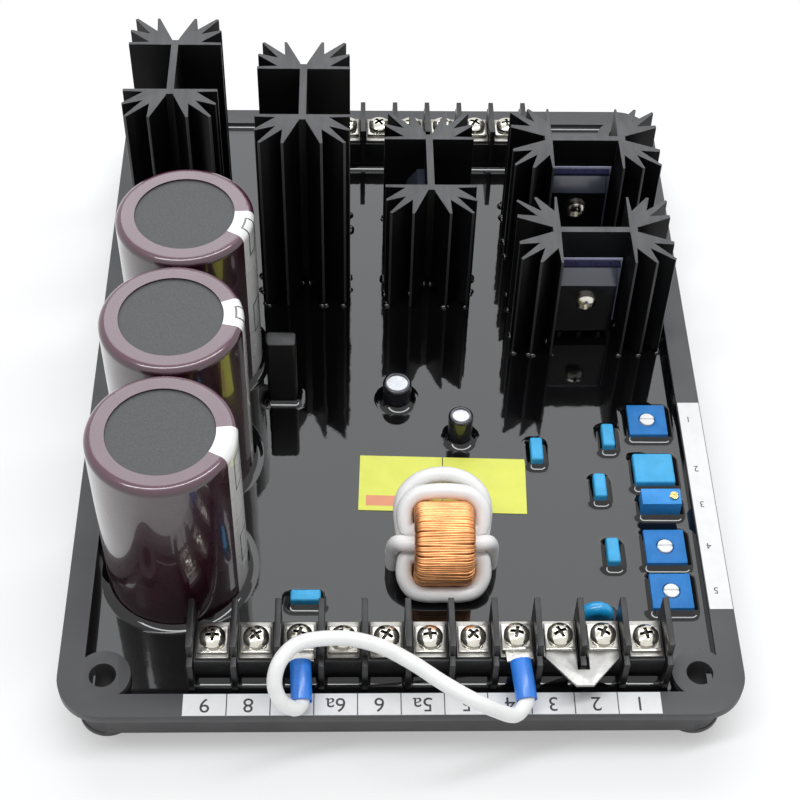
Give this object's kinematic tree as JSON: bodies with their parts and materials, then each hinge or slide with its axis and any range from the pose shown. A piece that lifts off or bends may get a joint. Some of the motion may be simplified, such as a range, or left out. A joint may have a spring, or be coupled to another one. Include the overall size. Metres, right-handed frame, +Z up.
{
  "type": "automatic voltage regulator",
  "caption": "Potted generator voltage regulator: resin-filled tray with capacitors, finned heat sinks, screw terminal strips, trimmers and a current transformer.",
  "frame": {"origin": "middle of the plane that the four feet stand on", "axes": "+Z up out of the resin, +Y from the front terminal strip to the rear strip, +X to the right"},
  "size_m": [0.16, 0.2161, 0.0733],
  "materials": {
    "moulded_tray": "satin",
    "board": "satin",
    "potting_resin": "gloss",
    "aluminium_can": "satin",
    "shrink_sleeve": "gloss",
    "end_disc": "matte",
    "black_anodised": "matte",
    "device_package": "satin",
    "plated_steel": "satin",
    "strip_plastic": "satin",
    "nickel_plate": "satin",
    "white_insulation": "satin",
    "blue_sleeve": "satin",
    "blue_case": "satin",
    "white_rotor": "satin",
    "brass_screw": "satin",
    "light_blue_case": "satin",
    "small_sleeve": "satin",
    "black_case": "satin",
    "core": "matte",
    "enamelled_copper": "satin",
    "label_white": "satin",
    "label_yellow": "satin"
  },
  "bodies": {
    "unit": {"tray": "moulded_tray", "circuit_board": "board", "potting_resin": "potting_resin", "capacitor_can_1": "aluminium_can", "capacitor_can_2": "aluminium_can", "capacitor_can_3": "aluminium_can", "capacitor_sleeve_1": "shrink_sleeve", "capacitor_sleeve_2": "shrink_sleeve", "capacitor_sleeve_3": "shrink_sleeve", "capacitor_disc_1": "end_disc", "capacitor_disc_2": "end_disc", "capacitor_disc_3": "end_disc", "heat_sink_1": "black_anodised", "heat_sink_2": "black_anodised", "heat_sink_3": "black_anodised", "heat_sink_4": "black_anodised", "heat_sink_5": "black_anodised", "power_device_1": "device_package", "power_device_2": "device_package", "power_device_3": "device_package", "power_device_4": "device_package", "power_device_5": "device_package", "device_screws": "plated_steel", "front_terminal_block": "strip_plastic", "rear_terminal_block": "strip_plastic", "front_terminal_plates": "nickel_plate", "rear_terminal_plates": "nickel_plate", "front_clamp_washers": "nickel_plate", "rear_clamp_washers": "nickel_plate", "front_terminal_screws": "plated_steel", "rear_terminal_screws": "plated_steel", "terminal_link": "nickel_plate", "jumper_wire": "white_insulation", "crimp_lug_left": "nickel_plate", "crimp_lug_right": "nickel_plate", "crimp_sleeve_left": "blue_sleeve", "crimp_sleeve_right": "blue_sleeve", "trimmer_body_1": "blue_case", "trimmer_body_2": "blue_case", "trimmer_body_3": "blue_case", "multiturn_body": "blue_case", "box_capacitor": "light_blue_case", "film_capacitors": "light_blue_case", "dipped_disc": "light_blue_case", "small_capacitor_can_1": "aluminium_can", "small_capacitor_can_2": "aluminium_can", "small_capacitor_sleeve_1": "small_sleeve", "small_capacitor_sleeve_2": "small_sleeve", "upright_module": "black_case", "transformer_core": "core", "transformer_winding": "enamelled_copper", "transformer_lead": "white_insulation", "terminal_label": "label_white", "adjustment_label": "label_white", "rating_label": "label_yellow"},
    "rotor_1": {"trimmer_rotor_1": "white_rotor"},
    "rotor_2": {"trimmer_rotor_2": "white_rotor"},
    "rotor_3": {"trimmer_rotor_3": "white_rotor"},
    "adjuster": {"multiturn_screw": "brass_screw"}
  },
  "joints": [
    {"name": "trimmer_1_turn", "type": "hinge", "parent": "unit", "child": "rotor_1", "pos_m": [0.0656, -0.0176, 0.016], "axis": [0, 0, 1], "range_deg": [-135, 135]},
    {"name": "trimmer_2_turn", "type": "hinge", "parent": "unit", "child": "rotor_2", "pos_m": [0.0656, -0.058, 0.016], "axis": [0, 0, 1], "range_deg": [-135, 135]},
    {"name": "trimmer_3_turn", "type": "hinge", "parent": "unit", "child": "rotor_3", "pos_m": [0.0656, -0.0711, 0.016], "axis": [0, 0, 1], "range_deg": [-135, 135]},
    {"name": "adjuster_turn", "type": "hinge", "parent": "unit", "child": "adjuster", "pos_m": [0.0689, -0.0452, 0.0194], "axis": [0, 0, 1], "continuous": true}
  ]
}
